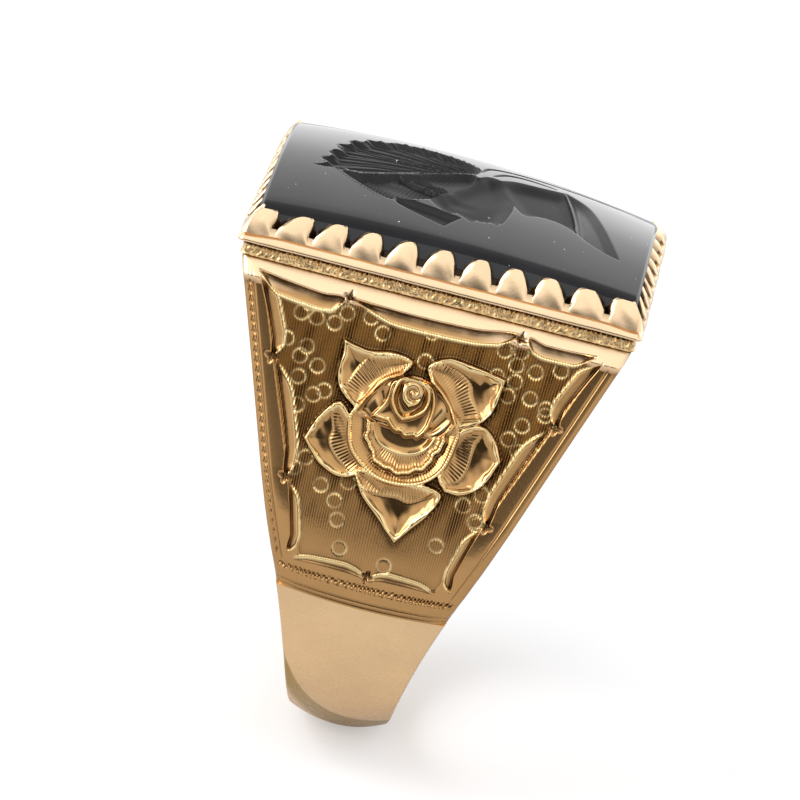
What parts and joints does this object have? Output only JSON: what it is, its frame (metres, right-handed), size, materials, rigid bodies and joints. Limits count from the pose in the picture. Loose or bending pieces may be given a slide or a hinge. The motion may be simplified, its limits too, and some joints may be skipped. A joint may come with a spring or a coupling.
{
  "type": "signet ring",
  "caption": "Gold signet ring with engraved tapering shoulders, a scalloped claw collet and a rectangular domed black stone.",
  "frame": {"origin": "centre of the finger hole", "axes": "+Z from the finger hole to the stone, Y along the finger hole, the two engraved shoulders at +X and -X"},
  "size_m": [0.0224, 0.0194, 0.0271],
  "materials": {
    "gold": "polished",
    "gold_inside": "satin",
    "gold_milled": "satin",
    "onyx": "gloss"
  },
  "bodies": {
    "root": {"finger_lining": "gold_inside", "shank": "gold", "shoulder_right": "gold", "shoulder_left": "gold", "front_plate": "gold", "rear_plate": "gold", "head_lid": "gold", "milled_strip": "gold_milled", "plain_wire": "gold", "collet": "gold", "bearing": "gold", "stone": "onyx"}
  },
  "joints": []
}
